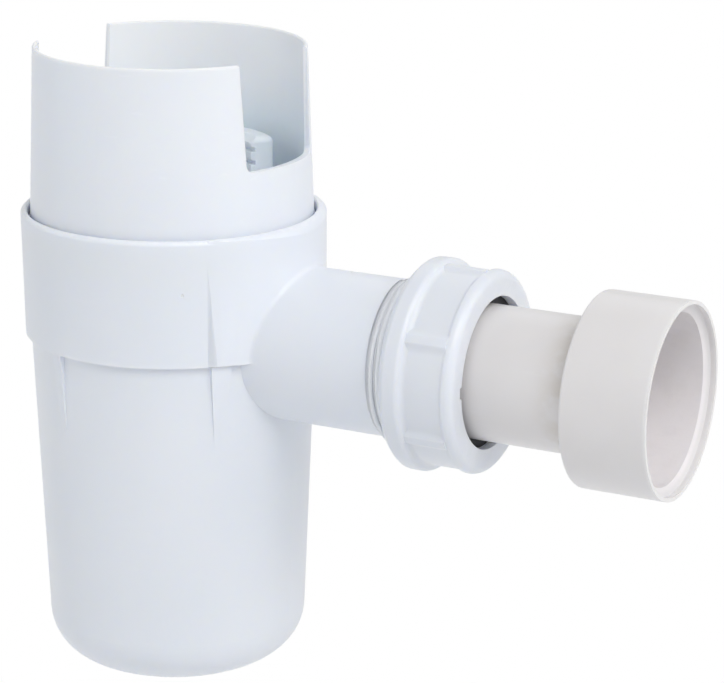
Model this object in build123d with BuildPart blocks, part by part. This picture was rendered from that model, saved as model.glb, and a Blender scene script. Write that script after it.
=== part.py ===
from math import cos, radians, sin, tan
import os

from build123d import *

os.makedirs("parts", exist_ok=True)

# Lengths are in millimetres and angles in degrees. The origin is the middle of the toothed
# clip, on the upright axis of the trap. +Z is up and +X runs out along the outlet.

# Cup and collar
rim_height = 114.6
cup_radius = 31.6
cup_draft = 2.26
cup_corner = 12.2
cup_wall = 2.2
collar_height = 30.6
ledge_width = 1.385
collar_draft = 0.97
rim_wall = 1.668
rim_round = 1.1
bore_lead_in = 0.4
seat_depth = 10.6
seat_width = 1.2

# Thickened pad of the collar behind the outlet
pad_step = 1.7
pad_offset = 4.1
pad_crest_angle = 43.1
pad_top_crest_angle = 45.8
pad_root_angle = 46.5
pad_crest_rise = 0.65
pad_top_round = 2.2

# Tapered gussets under the ledge: direction, width at the top
gusset_places = [(41.1, 5.0), (-41.1, 5.0), (110.2, 3.1), (-110.2, 3.1)]
gusset_height = 21.0
gusset_set_back = 0.25
gusset_tip_share = 0.55
gusset_root = 1.2

# Outlet branch
outlet_rise = 0.6
branch_length = 44.3
branch_wall = 2.49
branch_blend = 1.0
thread_length = 17.4
thread_rise = 0.61
thread_depth = 1.5
thread_play = 0.15
thread_step = 0.4
thread_lead = 1.2
socket_depth = 20.6
waterway_step = 1.75
mouth_taper_length = 6.0
mouth_rim = 0.35

# Adaptor from a 32 mm spigot to a 40 mm pipe socket
spigot_radius = 16.0
spigot_clearance = 0.35
spigot_wall = 2.2
spigot_end_gap = 0.3
adaptor_length = 72.7
pipe_radius = 20.05
socket_wall = 2.95
socket_length = 20.8
socket_back_wall = 2.8
mouth_lip_wall = 0.9
mouth_lip_depth = 1.4
mouth_chamfer = 1.1
shoulder_round = 0.8

# Outlet seal
seal_bore_clearance = 0.1
seal_gap = 0.1
seal_head_length = 3.4
seal_head_overlap = 0.45
seal_nose_length = 4.2
seal_edge = 0.4

# Nut that clamps the outlet seal: thicknesses are measured from the bore
nut_length = 18.6
nut_back_wall = 2.5
nut_cone_length = 1.7
nut_ring_wall = 4.2
nut_ring_length = 5.4
nut_ring_round = 1.2
nut_step = 0.8
nut_waist_wall = 2.4
nut_waist_blend = 1.2
nut_ridge_rise = 0.9
nut_ridge_width = 2.0
nut_ridge_foot = 5.6
nut_ridge_blend = 3.0
nut_ridges = 6
nut_shoulder_length = 2.5
nut_shoulder_rise = 0.6
nut_shoulder_round = 2.1
nut_lip = 2.4
nut_hole_play = 2.1
nut_pocket_play = 0.3
nut_pocket_gap = 0.4
notch_depth = 0.8
notch_width = 2.8

# Guard sleeve
guard_rise = 39.7
guard_turn = -4.7
guard_relief = 0.34
guard_draft = 2.2
guard_top_wall = 1.0
guard_inner_draft = 1.13
guard_edge = 0.3
guide_clearance = 0.3
guide_land = 3.0
groove_height = 3.4
groove_depth = 2.1
upper_land = 2.0
slot_floor_rise = 14.35
slot_floor_half = 13.4
slot_top_half = 14.2
slot_corner = 1.8

# Funnel floor and spout
funnel_slope = 35.1
funnel_wall = 2.0
funnel_drop = 7.1
spout_wall = 2.0
spout_length = 8.0

# Toothed clip jaws
clip_rise = 8.9
jaw_gap_angle = 98.4
jaw_top_rise = 15.6
jaw_tip_radius = 19.8
jaw_thickness = 6.0
jaw_round = 1.6
jaw_lead_in = 1.6
tooth_pitch = 3.25
tooth_gap = 1.4
tooth_depth = 1.2
tooth_count = 3
first_groove_rise = 12.6

# Dip tube
tube_radius = 12.75
tube_wall = 1.8
tube_fit = 0.1
tube_flange = 1.5
tube_flange_height = 1.6
tube_floor_gap = 17.8

# Guard seal
ring_fit = 0.06
ring_side_gap = 0.2

# Levels in the part's own frame
rim_z = -clip_rise
base_z = rim_z - rim_height
ledge_z = rim_z - collar_height
seat_z = rim_z - seat_depth
outlet_z = ledge_z + outlet_rise
groove_bottom_z = seat_z + guide_land
groove_top_z = groove_bottom_z + groove_height
land_top_z = groove_top_z + upper_land
funnel_rim_z = rim_z - funnel_drop
slot_floor_z = rim_z + slot_floor_rise
jaw_top_z = rim_z + jaw_top_rise
guard_top_z = rim_z + guard_rise

outlet_axis = Axis((0, 0, outlet_z), (1, 0, 0))
outlet_plane = Plane(origin=(0, 0, outlet_z), x_dir=(0, 1, 0), z_dir=(1, 0, 0))


def on_circle(radius, angle):
    return (radius * cos(radians(angle)), radius * sin(radians(angle)))


def cup_radius_at(z):
    return cup_radius + (z - base_z) * tan(radians(cup_draft))


# Radii about the upright axis
collar_radius = cup_radius_at(ledge_z) + ledge_width


def collar_radius_at(z):
    return collar_radius + (z - ledge_z) * tan(radians(collar_draft))


collar_bore = collar_radius_at(rim_z) - rim_wall
pad_reach = collar_radius + pad_step
guide_radius = collar_bore - guide_clearance
groove_radius = guide_radius - groove_depth
funnel_rim_radius = groove_radius - funnel_wall


def guard_radius_at(z):
    return guide_radius - guard_relief - (z - land_top_z) * tan(radians(guard_draft))


def guard_inner_radius_at(z):
    top_radius = guard_radius_at(guard_top_z) - guard_top_wall
    return top_radius + (guard_top_z - z) * tan(radians(guard_inner_draft))


# Radii about the outlet axis
spigot_bore = spigot_radius + spigot_clearance
waterway_radius = spigot_bore - waterway_step
branch_radius = spigot_bore + branch_wall
thread_core_radius = branch_radius + thread_rise
mouth_taper_radius = thread_core_radius - thread_lead / 2 - mouth_rim
seal_head_radius = thread_core_radius + seal_head_overlap
nut_bore = thread_core_radius + thread_depth + thread_play
nut_waist_radius = nut_bore + nut_waist_wall
socket_radius = pipe_radius + socket_wall

# Stations along the outlet
branch_end = collar_radius + branch_length
thread_start = branch_end - thread_length
socket_stop = branch_end - socket_depth
head_back = branch_end + seal_gap
head_front = head_back + seal_head_length
lip_back = head_front + seal_gap
nut_front = lip_back + nut_lip
nut_back = nut_front - nut_length
nut_ring_end = nut_back + nut_ring_length
nut_shoulder_start = nut_front - nut_shoulder_length


def above_outlet(points):
    """Points given as distance along the outlet and radius about its axis."""
    return [(x, outlet_z + radius) for x, radius in points]


def pad_outline(crest_angle):
    """Wedge whose flanks pass through the crest and the root of the pad, on both sides."""
    crest = on_circle(collar_radius + pad_crest_rise, crest_angle)
    root = on_circle(collar_radius, pad_root_angle)
    step = (root[0] - crest[0], root[1] - crest[1])
    inner = (root[0] + step[0], root[1] + step[1])
    outer = (crest[0] - step[0], crest[1] - step[1])
    far = (2 * pad_reach, outer[1])
    half = [inner, outer, far]
    return half + [(x, -y) for x, y in reversed(half)]


# Pad: a wider arc of the collar, with flanks that run in to the collar and a rounded top
with BuildPart() as pad:
    for z, crest_angle in ((ledge_z, pad_crest_angle), (rim_z, pad_top_crest_angle)):
        with BuildSketch(Plane.XY.offset(z)):
            with BuildLine():
                Polyline(*pad_outline(crest_angle), close=True)
            make_face()
    loft(ruled=True)
    with BuildSketch(Plane.XY.offset(ledge_z)):
        with Locations((pad_offset, 0)):
            Circle(pad_reach - pad_offset)
    extrude(amount=rim_z - ledge_z, mode=Mode.INTERSECT)
    with BuildSketch(Plane.XZ) as pad_section:
        with BuildLine():
            Polyline(
                (0, ledge_z),
                (pad_reach, ledge_z),
                (pad_reach, rim_z),
                (0, rim_z),
                close=True,
            )
        make_face()
        fillet(pad_section.vertices().group_by(Axis.Y)[-1].sort_by(Axis.X)[-1], pad_top_round)
    revolve(axis=Axis.Z, mode=Mode.INTERSECT)

# Trap body: collar, pad and the half of the branch above the ledge, blended together
with BuildPart() as trap_body:
    with BuildSketch(Plane.XZ):
        with BuildLine():
            Polyline(
                (0, ledge_z),
                (collar_radius, ledge_z),
                (collar_radius_at(rim_z), rim_z),
                (0, rim_z),
                close=True,
            )
        make_face()
    revolve(axis=Axis.Z)
    fillet(trap_body.edges().group_by(Axis.Z)[-1], rim_round)
    add(pad.part)

    with BuildSketch(outlet_plane):
        Circle(branch_radius)
        with Locations((0, ledge_z - outlet_z)):
            Rectangle(
                4 * branch_radius,
                2 * branch_radius,
                align=(Align.CENTER, Align.MIN),
                mode=Mode.INTERSECT,
            )
    extrude(amount=thread_start - thread_step)
    meeting = trap_body.edges(Select.NEW).filter_by(lambda edge: edge.center().Z > ledge_z + 1)
    fillet(meeting, branch_blend)

    # Cup below the ledge
    with BuildSketch(Plane.XZ) as cup_section:
        with BuildLine():
            Polyline(
                (0, base_z),
                (cup_radius, base_z),
                (cup_radius_at(ledge_z), ledge_z),
                (0, ledge_z),
                close=True,
            )
        make_face()
        fillet(cup_section.vertices().group_by(Axis.Y)[0].sort_by(Axis.X)[-1], cup_corner)
    revolve(axis=Axis.Z)

    # Gussets that fade from the ledge into the cup
    gusset_foot_z = ledge_z - gusset_height
    for angle, width in gusset_places:
        side = Plane.XY.rotated((0, 0, angle))
        with BuildSketch(side.offset(ledge_z)):
            with Locations((collar_radius - gusset_set_back, 0)):
                Rectangle(
                    collar_radius - cup_radius_at(ledge_z) + gusset_root,
                    width,
                    align=(Align.MAX, Align.CENTER),
                )
        with BuildSketch(side.offset(gusset_foot_z)):
            with Locations((cup_radius_at(gusset_foot_z), 0)):
                Rectangle(
                    gusset_root,
                    width * gusset_tip_share,
                    align=(Align.MAX, Align.CENTER),
                )
        loft()

    # Lower half of the branch, then its end turned about the outlet axis
    with BuildSketch(outlet_plane):
        Circle(branch_radius)
    extrude(amount=thread_start - thread_step)
    with BuildSketch(Plane.XZ):
        with BuildLine():
            Polyline(
                *above_outlet(
                    [
                        (thread_start - 2 * thread_step, 0),
                        (thread_start - 2 * thread_step, branch_radius),
                        (thread_start - thread_step, branch_radius),
                        (thread_start, thread_core_radius),
                        (branch_end - thread_lead, thread_core_radius),
                        (branch_end, thread_core_radius - thread_lead / 2),
                        (branch_end, 0),
                    ]
                ),
                close=True,
            )
        make_face()
    revolve(axis=outlet_axis)

    # Water chamber and the bore that the guard drops into
    chamber_top_radius = collar_bore - seat_width
    chamber_step_z = ledge_z + cup_wall / 2
    with BuildSketch(Plane.XZ) as chamber:
        with BuildLine():
            Polyline(
                (0, base_z + cup_wall),
                (cup_radius_at(base_z + cup_wall) - cup_wall, base_z + cup_wall),
                (cup_radius_at(chamber_step_z) - cup_wall, chamber_step_z),
                (collar_radius_at(ledge_z) - cup_wall, ledge_z + cup_wall),
                (chamber_top_radius, seat_z),
                (collar_bore, seat_z),
                (collar_bore, rim_z - bore_lead_in),
                (collar_bore + bore_lead_in, rim_z),
                (0, rim_z),
                close=True,
            )
        make_face()
        fillet(
            chamber.vertices().group_by(Axis.Y)[0].sort_by(Axis.X)[-1],
            cup_corner - cup_wall,
        )
    revolve(axis=Axis.Z, mode=Mode.SUBTRACT)

    # Waterway, socket for the spigot and tapered mouth for the seal
    with BuildSketch(Plane.XZ):
        with BuildLine():
            Polyline(
                *above_outlet(
                    [
                        (0, 0),
                        (0, waterway_radius),
                        (socket_stop, waterway_radius),
                        (socket_stop, spigot_bore),
                        (branch_end - mouth_taper_length, spigot_bore),
                        (branch_end, mouth_taper_radius),
                        (branch_end, 0),
                    ]
                ),
                close=True,
            )
        make_face()
    revolve(axis=outlet_axis, mode=Mode.SUBTRACT)

trap_body.part.label = "trap_body"
export_step(trap_body.part, "parts/trap_body.step")

# Clip jaw: one toothed segment of the ring that grips the valve outlet
jaw_outer_radius = jaw_tip_radius + jaw_thickness
tooth_root_radius = jaw_tip_radius + tooth_depth


def funnel_z(radius, depth=0.0):
    """Height of the funnel floor at a radius, or of a surface this deep under it."""
    drop = (funnel_rim_radius - radius) * tan(radians(funnel_slope))
    return funnel_rim_z - drop - depth / cos(radians(funnel_slope))


teeth = []
for index in range(tooth_count):
    groove_z = rim_z + first_groove_rise - index * tooth_pitch
    teeth += [
        (jaw_tip_radius, groove_z + tooth_gap / 2),
        (tooth_root_radius, groove_z + tooth_gap / 4),
        (tooth_root_radius, groove_z - tooth_gap / 2),
        (jaw_tip_radius, groove_z - tooth_gap / 2),
    ]
last_tooth_z = teeth[-1][1] - (tooth_pitch - tooth_gap)
jaw_foot_depth = funnel_wall / 2
jaw_arc = 180 - jaw_gap_angle

with BuildPart() as clip_jaw:
    jaw_plane = Plane.XZ.rotated((0, 0, jaw_gap_angle / 2 + guard_turn))
    with BuildSketch(jaw_plane) as jaw_section:
        with BuildLine():
            Polyline(
                (jaw_outer_radius, jaw_top_z),
                (jaw_tip_radius + jaw_lead_in, jaw_top_z),
                (jaw_tip_radius, jaw_top_z - jaw_lead_in),
                *teeth,
                (jaw_tip_radius, last_tooth_z),
                (tooth_root_radius, last_tooth_z - tooth_depth),
                (tooth_root_radius, funnel_z(tooth_root_radius, jaw_foot_depth)),
                (jaw_outer_radius, funnel_z(jaw_outer_radius, jaw_foot_depth)),
                close=True,
            )
        make_face()
        fillet(jaw_section.vertices().group_by(Axis.Y)[-1].sort_by(Axis.X)[-1], jaw_round)
    revolve(axis=Axis.Z, revolution_arc=jaw_arc)
    ends = clip_jaw.faces().filter_by(GeomType.PLANE).sort_by(SortBy.AREA)[-2:]
    corners = ends.edges().filter_by(GeomType.LINE).filter_by(Axis.Z)
    fillet(corners.group_by(SortBy.LENGTH)[-1], jaw_round)

# Guard sleeve: slotted sleeve, seal groove, funnel floor, spout and both clip jaws
flange_radius = tube_radius + tube_flange
shelf_radius = flange_radius + tube_fit
spout_bore = tube_radius + tube_fit
spout_radius = spout_bore + spout_wall
shelf_z = funnel_z(shelf_radius) - tube_flange_height
spout_bottom_z = shelf_z - spout_length
skirt_inner_radius = funnel_rim_radius - (
    funnel_z(funnel_rim_radius, funnel_wall) - seat_z
) / tan(radians(funnel_slope))
throat_z = groove_top_z + funnel_wall / 3
neck_z = land_top_z + funnel_wall / 2

with BuildPart() as guard_sleeve:
    with BuildSketch(Plane.XZ) as guard_section:
        with BuildLine():
            Polyline(
                (guard_radius_at(guard_top_z), guard_top_z),
                (guard_radius_at(land_top_z), land_top_z),
                (guide_radius, land_top_z),
                (guide_radius, groove_top_z),
                (groove_radius, groove_top_z),
                (groove_radius, groove_bottom_z),
                (guide_radius, groove_bottom_z),
                (guide_radius, seat_z),
                (skirt_inner_radius, seat_z),
                (spout_radius, funnel_z(spout_radius, funnel_wall)),
                (spout_radius, spout_bottom_z),
                (spout_bore, spout_bottom_z),
                (spout_bore, shelf_z),
                (shelf_radius, shelf_z),
                (shelf_radius, funnel_z(shelf_radius)),
                (funnel_rim_radius, funnel_rim_z),
                (funnel_rim_radius, throat_z),
                (guard_inner_radius_at(neck_z), neck_z),
                (guard_inner_radius_at(guard_top_z), guard_top_z),
                close=True,
            )
        make_face()
        chamfer(guard_section.vertices().group_by(Axis.Y)[-1], guard_edge)
    revolve(axis=Axis.Z)

    slot_rise = guard_top_z - slot_floor_z
    slot_flare = (slot_top_half - slot_floor_half) / slot_rise
    slot_reach = slot_rise + slot_corner
    slot_plane = Plane.YZ.rotated((0, 0, guard_turn))
    with BuildSketch(slot_plane) as slot:
        with BuildLine():
            Polyline(
                (-slot_floor_half, slot_floor_z),
                (slot_floor_half, slot_floor_z),
                (slot_floor_half + slot_flare * slot_reach, slot_floor_z + slot_reach),
                (-slot_floor_half - slot_flare * slot_reach, slot_floor_z + slot_reach),
                close=True,
            )
        make_face()
        fillet(slot.vertices().group_by(Axis.Y)[0], slot_corner)
    extrude(amount=2 * collar_radius, both=True, mode=Mode.SUBTRACT)

    add(clip_jaw.part)
    add(clip_jaw.part.rotate(Axis.Z, 180))

guard_sleeve.part.label = "guard_sleeve"
export_step(guard_sleeve.part, "parts/guard_sleeve.step")

# Dip tube hung by its flange in the spout
tube_bottom_z = base_z + cup_wall + tube_floor_gap
tube_bore = tube_radius - tube_wall
flange_top_z = shelf_z + tube_flange_height

with BuildPart() as dip_tube:
    with BuildSketch(Plane.XZ):
        with BuildLine():
            Polyline(
                (tube_bore, tube_bottom_z),
                (tube_radius, tube_bottom_z),
                (tube_radius, shelf_z),
                (flange_radius, shelf_z),
                (flange_radius, flange_top_z),
                (tube_bore + tube_flange_height, flange_top_z),
                (tube_bore, flange_top_z - tube_flange_height),
                close=True,
            )
        make_face()
    revolve(axis=Axis.Z)

dip_tube.part.label = "dip_tube"
export_step(dip_tube.part, "parts/dip_tube.step")

# Guard seal: a ring squeezed between the groove and the collar bore
ring_inner = groove_radius + ring_fit
ring_outer = collar_bore - ring_fit

with BuildPart() as guard_seal:
    with BuildSketch(Plane.XZ):
        with Locations(((ring_inner + ring_outer) / 2, (groove_bottom_z + groove_top_z) / 2)):
            Ellipse((ring_outer - ring_inner) / 2, groove_height / 2 - ring_side_gap)
    revolve(axis=Axis.Z)

guard_seal.part.label = "guard_seal"
export_step(guard_seal.part, "parts/guard_seal.step")

# Compression nut
pocket_back = branch_end + nut_pocket_gap
pocket_radius = seal_head_radius + nut_pocket_play
nut_hole = spigot_radius + nut_hole_play
ring_radius = nut_bore + nut_ring_wall
ridge_radius = nut_waist_radius + nut_ridge_rise
shoulder_radius = nut_waist_radius + nut_shoulder_rise
shoulder_step = nut_step / 2

with BuildPart() as compression_nut:
    with BuildSketch(Plane.XZ) as nut_section:
        with BuildLine():
            Polyline(
                *above_outlet(
                    [
                        (nut_back, 0),
                        (nut_back, nut_bore + nut_back_wall),
                        (nut_back + nut_cone_length, ring_radius),
                        (nut_ring_end, ring_radius),
                        (nut_ring_end + nut_step, nut_waist_radius),
                        (nut_shoulder_start - shoulder_step, nut_waist_radius),
                        (nut_shoulder_start, shoulder_radius),
                        (nut_front, shoulder_radius),
                        (nut_front, 0),
                    ]
                ),
                close=True,
            )
        make_face()
        fillet(nut_section.vertices().group_by(Axis.Y)[-1], nut_ring_round)
        waist_corners = [
            vertex
            for vertex in nut_section.vertices()
            if abs(vertex.Y - outlet_z - nut_waist_radius) < shoulder_step / 2
        ]
        fillet(waist_corners, nut_waist_blend)
        front_corner = nut_section.vertices().group_by(Axis.X)[-1].sort_by(Axis.Y)[-1]
        fillet(front_corner, nut_shoulder_round)
    revolve(axis=outlet_axis)

    ridge_foot_radius = nut_waist_radius - nut_ridge_width / 4
    with BuildSketch(outlet_plane.offset(nut_ring_end)) as ridges:
        Circle(nut_waist_radius)
        with BuildLine():
            Polyline(
                (0, 0),
                (ridge_foot_radius, -nut_ridge_foot / 2),
                (ridge_radius, -nut_ridge_width / 2),
                (ridge_radius, nut_ridge_width / 2),
                (ridge_foot_radius, nut_ridge_foot / 2),
                close=True,
            )
        ridge = make_face(mode=Mode.PRIVATE)
        with PolarLocations(0, nut_ridges, start_angle=90):
            add(ridge)
        by_radius = ridges.vertices().group_by(lambda vertex: round(Vector(vertex).length, 2))
        fillet(by_radius[-1], nut_ridge_width / 3)
        by_radius = ridges.vertices().group_by(lambda vertex: round(Vector(vertex).length, 2))
        fillet(by_radius[0], nut_ridge_blend)
    extrude(amount=nut_shoulder_start - nut_ring_end)

    with BuildSketch(Plane.XZ):
        with BuildLine():
            Polyline(
                *above_outlet(
                    [
                        (nut_back, 0),
                        (nut_back, nut_bore),
                        (pocket_back, nut_bore),
                        (pocket_back, pocket_radius),
                        (lip_back, pocket_radius),
                        (lip_back, nut_hole),
                        (nut_front, nut_hole),
                        (nut_front, 0),
                    ]
                ),
                close=True,
            )
        make_face()
    revolve(axis=outlet_axis, mode=Mode.SUBTRACT)

    with BuildSketch(outlet_plane.offset(lip_back)):
        with Locations((-nut_hole - notch_depth, 0)):
            Rectangle(2 * notch_depth, notch_width, align=(Align.MIN, Align.CENTER))
    extrude(amount=nut_lip, mode=Mode.SUBTRACT)

compression_nut.part.label = "compression_nut"
export_step(compression_nut.part, "parts/compression_nut.step")

# Outlet seal: tapered nose in the branch, head under the nut's lip
seal_bore = spigot_radius + seal_bore_clearance
nose_tip = branch_end - seal_nose_length
mouth_slope = (mouth_taper_radius - spigot_bore) / mouth_taper_length
nose_root_radius = mouth_taper_radius - seal_gap - seal_gap / 2
nose_tip_radius = nose_root_radius - mouth_slope * seal_nose_length

with BuildPart() as outlet_seal:
    with BuildSketch(Plane.XZ) as seal_section:
        with BuildLine():
            Polyline(
                *above_outlet(
                    [
                        (nose_tip, seal_bore),
                        (nose_tip, nose_tip_radius),
                        (head_back, nose_root_radius),
                        (head_back, seal_head_radius),
                        (head_front, seal_head_radius),
                        (head_front, seal_bore),
                    ]
                ),
                close=True,
            )
        make_face()
        fillet(seal_section.vertices().group_by(Axis.Y)[-1], seal_edge)
    revolve(axis=outlet_axis)

outlet_seal.part.label = "outlet_seal"
export_step(outlet_seal.part, "parts/outlet_seal.step")

# Adaptor
spigot_end = socket_stop + spigot_end_gap
mouth_x = spigot_end + adaptor_length
shoulder_x = mouth_x - socket_length
lip_radius = socket_radius - mouth_lip_wall
spigot_inner = spigot_radius - spigot_wall

with BuildPart() as adaptor:
    with BuildSketch(Plane.XZ) as adaptor_section:
        with BuildLine():
            Polyline(
                *above_outlet(
                    [
                        (spigot_end, spigot_inner),
                        (spigot_end, spigot_radius),
                        (shoulder_x, spigot_radius),
                        (shoulder_x, socket_radius),
                        (mouth_x, socket_radius),
                        (mouth_x, lip_radius),
                        (mouth_x - mouth_lip_depth, lip_radius),
                        (mouth_x - mouth_lip_depth - mouth_chamfer, pipe_radius),
                        (shoulder_x + socket_back_wall, pipe_radius),
                        (shoulder_x + socket_back_wall, spigot_inner),
                    ]
                ),
                close=True,
            )
        make_face()
        outer_corners = adaptor_section.vertices().group_by(Axis.Y)[-1].sort_by(Axis.X)
        fillet(outer_corners[0], shoulder_round)
    revolve(axis=outlet_axis)

adaptor.part.label = "adaptor"
export_step(adaptor.part, "parts/adaptor.step")
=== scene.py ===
import math

import bmesh
import bpy
from mathutils import Matrix, Vector


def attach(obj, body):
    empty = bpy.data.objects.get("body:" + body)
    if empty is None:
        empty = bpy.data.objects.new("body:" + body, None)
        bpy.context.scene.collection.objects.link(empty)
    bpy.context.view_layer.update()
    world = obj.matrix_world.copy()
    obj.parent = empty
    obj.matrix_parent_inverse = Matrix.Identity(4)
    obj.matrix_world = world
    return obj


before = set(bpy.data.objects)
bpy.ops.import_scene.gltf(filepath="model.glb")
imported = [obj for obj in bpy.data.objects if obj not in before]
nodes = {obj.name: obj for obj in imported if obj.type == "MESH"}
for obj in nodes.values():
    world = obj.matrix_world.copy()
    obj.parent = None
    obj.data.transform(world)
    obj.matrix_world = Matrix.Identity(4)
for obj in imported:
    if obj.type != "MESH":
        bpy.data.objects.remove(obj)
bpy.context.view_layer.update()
print("loaded", sorted(nodes))

mm = 0.001
outletZ = -38.9  # height of the outlet's axis, in mm


camera = {
    "place": (0.332546, -0.549679, 0.147397),
    "yaw": 62.9575,
    "pitch": 16.5676,
    "roll": 0.3429,
    "lens": 134.63,
    "sensor": 36,
    "clip": (0.01, 50),
}


def addCamera(view):
    yaw, pitch, roll = (math.radians(view[k]) for k in ("yaw", "pitch", "roll"))
    back = Vector(
        (
            math.cos(yaw) * math.cos(pitch),
            -math.sin(yaw) * math.cos(pitch),
            math.sin(pitch),
        )
    )
    level = (-back).cross(Vector((0, 0, 1))).normalized()
    upright = level.cross(-back)
    right = math.cos(roll) * level + math.sin(roll) * upright
    up = -math.sin(roll) * level + math.cos(roll) * upright
    data = bpy.data.cameras.new("camera")
    data.sensor_width = view["sensor"]
    data.sensor_fit = "HORIZONTAL"
    data.lens = view["lens"]
    data.clip_start, data.clip_end = view["clip"]
    cam = bpy.data.objects.new("camera", data)
    turn = Matrix((right, up, back)).transposed().to_4x4()
    cam.matrix_world = Matrix.Translation(view["place"]) @ turn
    bpy.context.scene.collection.objects.link(cam)
    bpy.context.scene.camera = cam


addCamera(camera)
print("camera placed")


class Wire:
    # a value, colour or vector on its way through a material's nodes
    def __init__(self, tree, socket=None):
        self.tree = tree
        self.socket = socket

    def add(self, kind, settings=None, inputs=None, out=0):
        node = self.tree.nodes.new(kind)
        for key, value in (settings or {}).items():
            setattr(node, key, value)
        for key, value in (inputs or {}).items():
            if isinstance(value, Wire):
                self.tree.links.new(value.socket, node.inputs[key])
            else:
                node.inputs[key].default_value = value
        return Wire(self.tree, node.outputs[out])

    def maths(self, operation, other=0.0):
        return self.add("ShaderNodeMath", {"operation": operation}, {0: self, 1: other})

    def __add__(self, other):
        return self.maths("ADD", other)

    __radd__ = __add__

    def __mul__(self, other):
        return self.maths("MULTIPLY", other)

    __rmul__ = __mul__

    def __sub__(self, other):
        return self.maths("SUBTRACT", other)

    def __rsub__(self, other):
        return (self * -1) + other

    def __pow__(self, other):
        return self.maths("POWER", other)

    def root(self):
        return self.maths("SQRT")

    def size(self):
        return self.maths("ABSOLUTE")

    def clamp(self):
        return self.add("ShaderNodeClamp", None, {"Value": self})

    def least(self, other):
        return self.maths("MINIMUM", other)

    def most(self, other):
        return self.maths("MAXIMUM", other)

    # a soft step from 0 at one value to 1 at the other, rising or falling
    def step(self, zeroAt, oneAt):
        rising = zeroAt < oneAt
        limits = {
            "Value": self,
            "From Min": min(zeroAt, oneAt),
            "From Max": max(zeroAt, oneAt),
            "To Min": 0.0 if rising else 1.0,
            "To Max": 1.0 if rising else 0.0,
        }
        settings = {"interpolation_type": "SMOOTHSTEP"}
        return self.add("ShaderNodeMapRange", settings, limits)

    # the same step between two lengths given in mm
    def over(self, lengths):
        return self.step(lengths[0] * mm, lengths[1] * mm)

    # 1 at the middle, 0 outside the width
    def band(self, middle, width):
        return (self - middle).size().step(width / 2, width / 4)

    # from one colour to the other, as this value goes from 0 to 1
    def blend(self, colourA, colourB):
        ends = [c if isinstance(c, Wire) else (*c, 1) for c in (colourA, colourB)]
        inputs = {0: self, 6: ends[0], 7: ends[1]}
        return self.add("ShaderNodeMix", {"data_type": "RGBA"}, inputs, out=2)


def clearedTree(holder):
    # the empty node tree of a new material or world
    holder.use_nodes = True
    holder.node_tree.nodes.clear()
    return holder.node_tree


def objectAxes(tree):
    # the place on the object, whole and as x, y and z
    place = Wire(tree).add("ShaderNodeTexCoord", out="Object")
    split = place.add("ShaderNodeSeparateXYZ", None, {0: place})
    return place, [Wire(tree, socket) for socket in split.socket.node.outputs]


def startMaterial(name):
    mat = bpy.data.materials.new(name)
    return mat, *objectAxes(clearedTree(mat))


def cloud(place, size, detail=3.0, rough=0.5, stretch=(1, 1, 1), shift=(0, 0, 0)):
    # noise with features of this size, in mm, longer along the stretched axes
    scale = tuple(1 / (size * mm * s) for s in stretch)
    spread = place.add(
        "ShaderNodeMapping", None, {"Vector": place, "Scale": scale, "Location": shift}
    )
    values = {"Vector": spread, "Scale": 1.0, "Detail": detail, "Roughness": rough}
    return place.add("ShaderNodeTexNoise", None, values)


glowDepth = 2.0  # mm that light runs under the surface


def finishMaterial(mat, colour, roughness, height, look):
    # height is in metres, so the bump is true to scale
    tree = mat.node_tree
    bump = {"Height": height, "Strength": 1.0, "Distance": 1.0}
    finish = {
        "Base Color": colour,
        "Roughness": roughness,
        "Normal": height.add("ShaderNodeBump", None, bump),
        "IOR": look["ior"],
        "Specular IOR Level": look["specular"],
        "Subsurface Weight": look.get("glow", 0.0),
        "Subsurface Radius": look.get("spread", (0.6, 0.7, 1.0)),
        "Subsurface Scale": glowDepth * mm,
    }
    shader = height.add("ShaderNodeBsdfPrincipled", None, finish)
    output = tree.nodes.new("ShaderNodeOutputMaterial")
    tree.links.new(shader.socket, output.inputs["Surface"])
    return mat


def distanceFrom(axes, point):
    # distance in metres from a point given in mm
    parts = [(axis - value * mm) ** 2 for axis, value in zip(axes, point)]
    return (parts[0] + parts[1] + parts[2]).root()


def fromAxis(across, upright):
    return ((across**2) + (upright**2)).root()


def wearAt(value, place, width, noiseSize):
    # broken rubbing along an edge: a narrow band eaten into by noise
    broken = cloud(place, noiseSize, 4.0, 0.6).step(0.42, 0.62)
    return (value.size().over((width, 0.0)) * broken).clamp()


cupLook = {
    "colour": (0.83, 0.86, 0.92),
    "deep": (0.805, 0.84, 0.905),
    "rubbedAndLit": (0.86, 0.88, 0.93),
    # also the colour of the painted shade under the ledge
    "dustAndShade": (0.73, 0.745, 0.78),
    "roughness": 0.36,
    "grain": 0.012,  # mm
    "ripple": 0.05,
    "scuff": 0.006,
    "ior": 1.49,
    "specular": 0.45,
    "glow": 0.4,
}

guardLook = dict(
    cupLook,
    colour=(0.84, 0.865, 0.925),
    deep=(0.815, 0.845, 0.91),
    glow=0.5,
    # also paints the inside of the wall lighter: painted light
    rubbedAndLit=(0.935, 0.96, 1.0),
    # bluer tint, also the painted shade low inside the wall
    dustAndShade=(0.80, 0.90, 1.0),
)
# a lighter copy of the body's plastic: painted light that lifts the shade in the
# thread's grooves; the nib on the branch wears it too
litBranchLook = dict(
    cupLook,
    colour=(0.905, 0.94, 1.0),
    deep=(0.89, 0.925, 0.99),
    roughness=0.45,
    glow=0.6,
    spread=(0.8, 0.8, 0.8),
)
nutLook = dict(
    cupLook,
    colour=(0.80, 0.825, 0.875),
    deep=(0.775, 0.805, 0.86),
    roughness=0.33,
)


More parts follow.
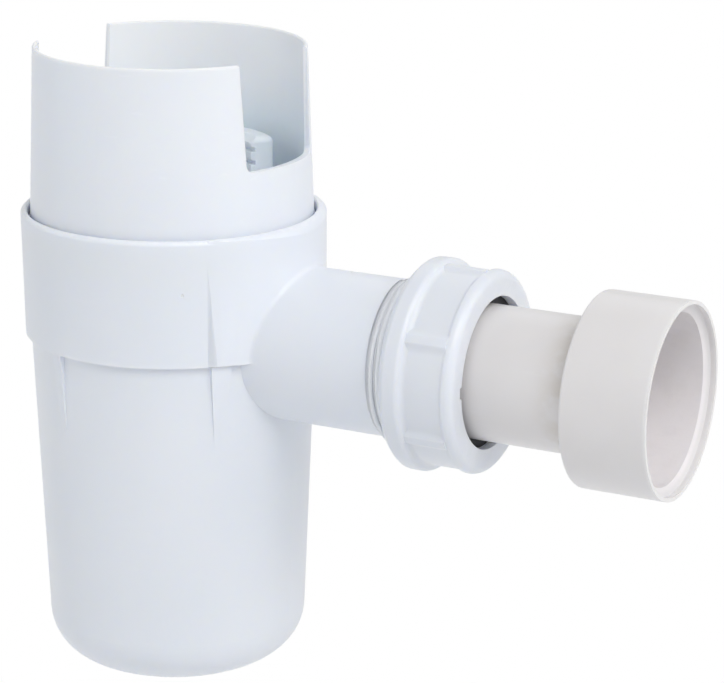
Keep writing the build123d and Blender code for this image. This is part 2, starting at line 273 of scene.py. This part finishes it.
def mouldedPlastic(name, look, marks=None):
    # marks gives the height in metres, the soil and painted shade, and the wear and
    # painted light that it adds
    mat, place, axes = startMaterial(name)
    pool = cloud(place, 38, 2.0, 0.45)
    flow = cloud(place, 9, 3.0, 0.5, stretch=(1, 1, 6), shift=(0.3, 0.1, 0.7))
    grain = cloud(place, 0.45, 2.0, 0.6)
    speck = cloud(place, 2.2, 1.0, 0.5, shift=(0.5, 0.5, 0.2)).step(0.75, 0.80)
    scuff = cloud(place, 3, 3.0, 0.6, stretch=(5, 1, 0.6), shift=(0.9, 0.4, 0.1))
    scuff = scuff.step(0.62, 0.72) * cloud(place, 26, 1.0).step(0.5, 0.62)
    height = (
        (flow - 0.5) * (look["ripple"] * mm)
        + (grain - 0.5) * (look["grain"] * mm)
        - scuff * (look["scuff"] * mm)
    )
    soilAndShade = speck * 0.2
    wornAndLit = scuff * 0.2
    if marks:
        extraHeight, extraSoilAndShade, extraWearAndLight = marks(place, axes)
        height = height + extraHeight
        soilAndShade = (soilAndShade + extraSoilAndShade).clamp()
        wornAndLit = (wornAndLit + extraWearAndLight).clamp()
    colour = pool.step(0.3, 0.7).blend(look["deep"], look["colour"])
    # the wear mask also carries painted light, such as the guard's lighter inside
    colour = wornAndLit.blend(colour, look["rubbedAndLit"])
    # the soil mask also carries painted shade, under the ledge and in creases
    colour = (soilAndShade * 0.5).blend(colour, look["dustAndShade"])
    roughness = (
        look["roughness"]
        + (pool - 0.5) * 0.12
        + scuff * 0.08
        + soilAndShade * 0.12
        + (flow - 0.5) * 0.08
    ).clamp()
    return finishMaterial(mat, colour, roughness, height, look)


# in these dictionaries of marks, lengths are in mm
cupMarks = {
    "rimZ": -8.9,
    "ledgeZ": -39.5,
    "baseZ": -123.5,
    "gate": (20.5, -30.3, -21.7),  # small round witness of the mould's gate
    "gateSize": 0.5,
    "gateDepth": 0.12,
    "splitWidth": 0.3,
    "splitRise": 0.03,
    "cupEdge": (38.9, 38.3),  # soil, painted shade and wear at the ledge end at this radius
    "flankAngle": math.radians(46.5),  # round from the outlet
    "flankWidth": math.radians(3.4),
    "flankTaper": math.radians(-3.4) / 25.1,
    "flankRadius": 36.6,
    "flankSteep": 0.42,
    "flankFade": (math.radians(34), math.radians(42.5)),
}


def markCup(place, axes):
    x, y, z = axes
    rimZ, ledgeZ, baseZ = (cupMarks[k] for k in ("rimZ", "ledgeZ", "baseZ"))
    gateSize = cupMarks["gateSize"]
    # the pad's flank stands steeper than its ruled face, and widens up from the ledge
    angle = y.size().maths("ARCTAN2", x)
    width = (z - ledgeZ * mm) * (cupMarks["flankTaper"] / mm) + cupMarks["flankWidth"]
    flank = (cupMarks["flankAngle"] - angle).most(0.0).least(width.most(0.0))
    flank = flank * angle.step(*cupMarks["flankFade"])
    flank = flank * z.over((ledgeZ - 0.1, ledgeZ + 0.1))
    dimple = distanceFrom(axes, cupMarks["gate"]).over((gateSize, gateSize * 0.5))
    # the mould's split runs down the back
    split = y.size().band(0.0, cupMarks["splitWidth"] * mm) * x.over((0, -10))
    height = (
        split * (cupMarks["splitRise"] * mm)
        - dimple * (cupMarks["gateDepth"] * mm)
        + flank * (cupMarks["flankSteep"] * cupMarks["flankRadius"] * mm)
    )
    onCup = fromAxis(x, y).over(cupMarks["cupEdge"])
    # painted shade: a darker band just under the ledge's overhang, broken by noise as
    # soil
    foot = (z - (ledgeZ - 0.4) * mm).size().over((1.4, 0.0)) * onCup
    soilAndShade = foot * cloud(place, 5, 4.0, 0.6).step(0.35, 0.7) * 0.25 + dimple * 0.6
    stand = z.over((baseZ + 3, baseZ))
    wearAndLight = wearAt(z - rimZ * mm, place, 0.9, 2.0)
    ledge = wearAt(z - ledgeZ * mm, place, 0.7, 2.5) * onCup
    wearAndLight = wearAndLight + ledge + stand * 0.3
    return height, soilAndShade.clamp(), wearAndLight.clamp()


guardMarks = {
    "topZ": 30.8,
    "rimZ": cupMarks["rimZ"],
    "inside": (32.8, 32.5),  # radius of the wall's middle
    "shade": (24, 4),  # the inside is painted bluer from the first height down to the second: painted shade
    "seamWidth": 0.25,
    "seamRise": 0.02,
}


def markGuard(place, axes):
    x, y, z = axes
    top = (z - guardMarks["topZ"] * mm).size().over((0.9, 0.3))
    inside = fromAxis(x, y).over(guardMarks["inside"])
    wearAndLight = top * 0.4 + inside  # the inside of the wall is painted lighter: painted light; the top edge is worn
    # faint step where the mould's inner core met the slots
    seam = x.band(0.0, guardMarks["seamWidth"] * mm)
    height = seam * (guardMarks["seamRise"] * mm)
    foot = (z - guardMarks["rimZ"] * mm).size().over((1.2, 0.0))
    soilAndShade = foot * cloud(place, 3, 3.0, 0.6).step(0.4, 0.7) * 0.4
    # painted shade: the inside tinted bluer toward the bottom of the well
    soilAndShade = soilAndShade + inside * z.over(guardMarks["shade"])
    return height, soilAndShade.clamp(), wearAndLight.clamp()


nutMarks = {
    "backX": 73.4,
    "frontX": 86.6,
    "seamLean": math.radians(27),  # off the top
    "seamWidth": 0.35,
    "seamRise": 0.06,
}


def markNut(place, axes):
    x, y, z = axes
    upright = z - outletZ * mm
    # the mould's split runs in over the front face
    lean = nutMarks["seamLean"]
    turned = y * math.cos(lean) - upright * math.sin(lean)
    above = y * math.sin(lean) + upright * math.cos(lean)
    seam = turned.band(0.0, nutMarks["seamWidth"] * mm) * above.over((0, 10))
    height = seam * (nutMarks["seamRise"] * mm)
    # painted shade: a darker noisy band in the crease at the ring's edge
    ring = x.band(nutMarks["backX"] * mm, 1.2 * mm)
    wearAndLight = wearAt(x - nutMarks["frontX"] * mm, place, 0.8, 4.0) * 0.25
    soilAndShade = ring * cloud(place, 2.5, 3.0, 0.6).step(0.4, 0.7) * 0.4
    return height, soilAndShade.clamp(), wearAndLight.clamp()


adaptorLook = {
    "colour": (0.785, 0.768, 0.768),
    "deep": (0.755, 0.735, 0.735),
    "dustAndShade": (0.68, 0.645, 0.64),
    # the bore is painted lighter and pinker than the outside: painted light inside the
    # socket
    "bore": (0.83, 0.80, 0.81),
    # warm painted shade in the corner against the socket
    "cornerShade": (0.68, 0.64, 0.595),
    # also paints the mouth's rim lighter: a painted highlight, beside the scrapes
    "rubbedAndLit": (0.84, 0.83, 0.82),
    "roughness": 0.30,
    "ior": 1.53,
    "specular": 0.45,
    "glow": 0.15,
    "boreRadius": (21.5, 20.6),  # lengths in mm from here on
    "boreStart": (114, 115.5),
    "spigotRadius": (17.5, 16.8),
    "cornerShadeRun": (102, 111),
    "mouthX": 133.0,
    "streaks": 0.035,
    "rings": 0.02,
    "grain": 0.01,
}


def adaptorPlastic(name, look):
    mat, place, axes = startMaterial(name)
    x, y, z = axes
    radius = fromAxis(y, z - outletZ * mm)
    pool = cloud(place, 30, 2.0, 0.5)
    streak = cloud(place, 4, 3.0, 0.55, stretch=(9, 1, 1))
    rings = cloud(place, 1.1, 2.0, 0.5, stretch=(0.35, 12, 12))
    grain = cloud(place, 0.4, 2.0, 0.6)
    inside = radius.over(look["boreRadius"]) * x.over(look["boreStart"])
    blotch = cloud(place, 6, 4.0, 0.65, shift=(0.2, 0.8, 0.5)).step(0.42, 0.66) * inside
    scrape = cloud(place, 2.6, 3.0, 0.6, stretch=(4, 1, 1)).step(0.64, 0.74)
    # a faint warm painted shade on the spigot, in the corner against the socket
    cornerShade = radius.over(look["spigotRadius"]) * x.over(look["cornerShadeRun"])
    cornerShade = cornerShade * cloud(place, 8, 3.0, 0.6, shift=(0.4, 0.2, 0.9)).step(0.36, 0.6)
    height = (
        (streak - 0.5) * (look["streaks"] * mm)
        + (rings - 0.5) * (look["rings"] * mm)
        + (grain - 0.5) * (look["grain"] * mm)
        - scrape * (0.004 * mm)
        + blotch * (0.01 * mm)
    )
    # painted highlight: the mouth's rim painted lighter
    rim = (x - look["mouthX"] * mm).size().over((1.0, 0.3)) * 0.6
    colour = pool.step(0.3, 0.7).blend(look["deep"], look["colour"])
    # painted light: the bore lighter and pinker than the outside
    colour = inside.blend(colour, look["bore"])
    colour = (blotch * 0.15).blend(colour, look["dustAndShade"])
    colour = (cornerShade * 0.85).blend(colour, look["cornerShade"])
    colour = (rim + scrape * 0.12).clamp().blend(colour, look["rubbedAndLit"])
    roughness = (
        look["roughness"]
        + (pool - 0.5) * 0.12
        + scrape * 0.08
        + blotch * 0.06
        + rim * 0.1
    ).clamp()
    return finishMaterial(mat, colour, roughness, height, look)


rubberLook = {
    "colour": (0.022, 0.022, 0.024),
    "dusty": (0.075, 0.075, 0.08),
    "roughness": 0.62,
    "grain": 0.03,  # mm
    "ior": 1.5,
    "specular": 0.4,
}


def sealRubber(name, look):
    mat, place, _ = startMaterial(name)
    grain = cloud(place, 0.3, 2.0, 0.6)
    ribs = cloud(place, 0.8, 2.0, 0.5, stretch=(0.4, 6, 6))
    height = (grain - 0.5) * (look["grain"] * mm) + (ribs - 0.5) * (look["grain"] * mm)
    bloom = cloud(place, 8, 3.0, 0.6).step(0.45, 0.75)
    colour = bloom.blend(look["colour"], look["dusty"])
    roughness = (look["roughness"] + bloom * 0.2 + (grain - 0.5) * 0.1).clamp()
    return finishMaterial(mat, colour, roughness, height, look)


nutPlastic = mouldedPlastic("nutPlastic", nutLook, markNut)
litBranchPlastic = mouldedPlastic("litBranchPlastic", litBranchLook)
seal = sealRubber("seal", rubberLook)

finishes = {
    "trap_body": mouldedPlastic("cupPlastic", cupLook, markCup),
    "guard_sleeve": mouldedPlastic("guardPlastic", guardLook, markGuard),
    "dip_tube": mouldedPlastic("tubePlastic", guardLook),
    "guard_seal": seal,
    "compression_nut": nutPlastic,
    "outlet_seal": seal,
    "adaptor": adaptorPlastic("pipePlastic", adaptorLook),
}
for name, mat in finishes.items():
    for slot in nodes[name].material_slots:
        slot.material = mat
    print("finished", name)


def addObject(name, bm, mat):
    mesh = bpy.data.meshes.new(name)
    bm.to_mesh(mesh)
    bm.free()
    mesh.materials.append(mat)
    thing = bpy.data.objects.new(name, mesh)
    bpy.context.scene.collection.objects.link(thing)
    return thing


def addPiece(name, bm, body, mat):
    bmesh.ops.recalc_face_normals(bm, faces=bm.faces[:])
    piece = addObject(name, bm, mat)
    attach(piece, body)
    print("added", name, len(piece.data.polygons), "faces")


nib = {
    "place": (48.6, 2.0, -20.25),
    "radius": 0.8,
    "rise": 0.22,
    "round": 0.6,  # of the rise
    "segments": 20,
}


def addNib(name, look, body, mat):
    # a flat round witness on top of the branch, left by the mould's ejector
    bm = bmesh.new()
    bmesh.ops.create_circle(
        bm, cap_ends=True, segments=look["segments"], radius=look["radius"] * mm
    )
    grown = bmesh.ops.extrude_face_region(bm, geom=bm.faces[:])["geom"]
    top = [item for item in grown if isinstance(item, bmesh.types.BMVert)]
    bmesh.ops.translate(bm, verts=top, vec=(0, 0, look["rise"] * 2 * mm))
    rim = [edge for edge in bm.edges if all(vert in top for vert in edge.verts)]
    bmesh.ops.bevel(
        bm,
        geom=rim,
        offset=look["rise"] * look["round"] * mm,
        offset_type="OFFSET",
        segments=3,
        profile=0.5,
        affect="EDGES",
        material=-1,
    )
    # half of it stays sunk in the wall
    lean = math.atan2(look["place"][1], look["place"][2] - outletZ)
    turn = Matrix.Rotation(-lean, 4, "X")
    place = Matrix.Translation(Vector(look["place"]) * mm)
    sink = Matrix.Translation((0, 0, -look["rise"] * mm))
    bmesh.ops.transform(bm, matrix=place @ turn @ sink, verts=bm.verts[:])
    addPiece(name, bm, body, mat)


addNib("branch_nib", nib, "trap", litBranchPlastic)


branchThread = {
    "start": 63.2,
    "end": 79.3,
    "pitch": 2.309,
    "root": 19.3,
    "crest": 20.35,
    "footHalf": 1.1,
    "crestHalf": 0.36,
    "round": 0.05,  # the crest's corners lie this much lower
    "perTurn": 72,
    "fade": 0.5,  # turns over which the ridge grows and dies away
    "least": 0.02,  # of its height, left at both ends
}

nutThread = dict(
    branchThread, start=68.2, end=80.4, root=21.25, crest=19.9, fade=0.4
)


def addThread(name, thread, body, mat, shift):
    # one ridge swept round the outlet's axis, climbing one pitch a turn
    start, end, pitch = thread["start"], thread["end"], thread["pitch"]
    root, crest, perTurn = thread["root"], thread["crest"], thread["perTurn"]
    steps = int((end - start) / pitch * perTurn)
    corner = crest + math.copysign(thread["round"], root - crest)
    section = [
        (-thread["footHalf"], root),
        (-thread["crestHalf"], corner),
        (-thread["crestHalf"] * 0.4, crest),
        (thread["crestHalf"] * 0.4, crest),
        (thread["crestHalf"], corner),
        (thread["footHalf"], root),
    ]
    bm = bmesh.new()
    points = [
        bm.verts.new(((start + x) * mm, 0, (outletZ + r) * mm)) for x, r in section
    ]
    edges = [bm.edges.new(pair) for pair in zip(points, points[1:] + points[:1])]
    centre = Vector((0, 0, outletZ * mm))
    turn = Matrix.Rotation(math.radians(shift), 3, "X")
    bmesh.ops.rotate(bm, verts=points, cent=centre, matrix=turn)
    face = bm.faces.new(points)
    bmesh.ops.spin(
        bm,
        geom=[face] + edges + points,
        cent=centre,
        axis=(1, 0, 0),
        dvec=(pitch * mm / perTurn, 0, 0),
        angle=math.tau * steps / perTurn,
        steps=steps,
        use_merge=False,
        use_duplicate=False,
    )
    # the ridge sinks into the wall at both ends
    foot = root * mm
    for vert in bm.verts:
        radial = Vector((0, vert.co.y, vert.co.z - outletZ * mm))
        radius = radial.length
        along = vert.co.x / mm
        run = min(along - start, end - along) / pitch
        grow = min(max(run / thread["fade"], thread["least"]), 1)
        radial *= (foot + (radius - foot) * grow) / radius
        vert.co.y = radial.y
        vert.co.z = radial.z + outletZ * mm
    for face in bm.faces:
        face.smooth = True
    addPiece(name, bm, body, mat)


# the nut's ridge lies half a pitch behind the branch's
behind = (nutThread["start"] - branchThread["start"]) / branchThread["pitch"]
phase = (360 * behind + 180) % 360
addThread("branch_thread", branchThread, "trap", litBranchPlastic, 0)
addThread("nut_thread", nutThread, "nut", nutPlastic, phase)


studio = {
    "floorZ": -0.26,
    "floorSize": 12.0,
    "white": (0.94, 0.945, 0.955),
    "shadeNear": 0.18,  # the floor's own shading shows inside this distance
    "shadeFar": 0.30,
    "shadeKept": 0.18,  # its share there, beside the white that the camera sees
    "world": 0.34,
    "worldTint": (0.96, 0.98, 1.0),
}


def mixByView(tree, seen, plain, white, outputKind):
    # the plain shader lights the object, and the white one is what the camera sees
    mix = seen.add("ShaderNodeMixShader", None, {0: seen, 1: plain, 2: white})
    output = tree.nodes.new(outputKind)
    tree.links.new(mix.socket, output.inputs["Surface"])


def seesBackground(tree):
    path = tree.nodes.new("ShaderNodeLightPath")
    kinds = ("Is Camera Ray", "Is Glossy Ray", "Is Transmission Ray")
    rays = [Wire(tree, path.outputs[kind]) for kind in kinds]
    return rays[0].most(rays[1]).most(rays[2])


def addFloor():
    bm = bmesh.new()
    bmesh.ops.create_grid(bm, x_segments=1, y_segments=1, size=studio["floorSize"] / 2)
    bmesh.ops.translate(bm, verts=bm.verts[:], vec=(0, 0, studio["floorZ"]))
    mat = bpy.data.materials.new("paleFloor")
    tree = clearedTree(mat)
    x, y = objectAxes(tree)[1][:2]
    matt = x.add("ShaderNodeBsdfDiffuse", None, {"Color": (*studio["white"], 1)})
    white = x.add("ShaderNodeEmission", None, {"Strength": 1.0})
    far = fromAxis(x, y).step(studio["shadeNear"], studio["shadeFar"])
    kept = studio["shadeKept"]
    seen = seesBackground(tree) * ((1 - kept) + far * kept)
    mixByView(tree, seen, matt, white, "ShaderNodeOutputMaterial")
    addObject("floor", bm, mat)


def addWorld():
    world = bpy.data.worlds.new("studio")
    bpy.context.scene.world = world
    tree = clearedTree(world)
    seen = seesBackground(tree)
    tint = {"Color": (*studio["worldTint"], 1), "Strength": studio["world"]}
    dome = seen.add("ShaderNodeBackground", None, tint)
    white = seen.add("ShaderNodeBackground", None, {"Strength": 1.0})
    mixByView(tree, seen, dome, white, "ShaderNodeOutputWorld")


addFloor()
addWorld()

warm = (1.0, 0.995, 0.99)
neutral = (1.0, 1.0, 1.0)
cool = (0.99, 1.0, 1.0)
lamps = {
    "key": dict(place=(0.75, -0.53, 0.92), size=0.7, power=7.6, tint=warm),
    "far": dict(place=(1.12, 0.10, 0.65), size=0.7, power=3.3, tint=warm),
    "front": dict(place=(0.25, -1.15, 0.3), size=0.7, power=1.2, tint=neutral),
    "left": dict(place=(-0.95, -0.55, 0.35), size=0.9, power=2.8, tint=cool),
    "rear": dict(place=(1.0, 0.7, 0.5), size=0.8, power=1.2, tint=neutral),
    "back": dict(place=(-0.5, 0.9, 0.8), size=0.8, power=1.0, tint=neutral),
}
aim = Vector((0.02, 0, -0.04))


def addLamp(name, lamp):
    data = bpy.data.lights.new(name, "AREA")
    data.shape = "SQUARE"
    data.size = lamp["size"]
    data.energy = lamp["power"]
    data.color = lamp["tint"]
    light = bpy.data.objects.new(name, data)
    place = Vector(lamp["place"])
    turn = (place - aim).to_track_quat("Z", "Y").to_matrix().to_4x4()
    light.matrix_world = Matrix.Translation(place) @ turn
    light.visible_camera = False
    bpy.context.scene.collection.objects.link(light)


for name, lamp in lamps.items():
    addLamp(name, lamp)
print("studio lit")

bpy.context.scene.view_settings.view_transform = "Standard"
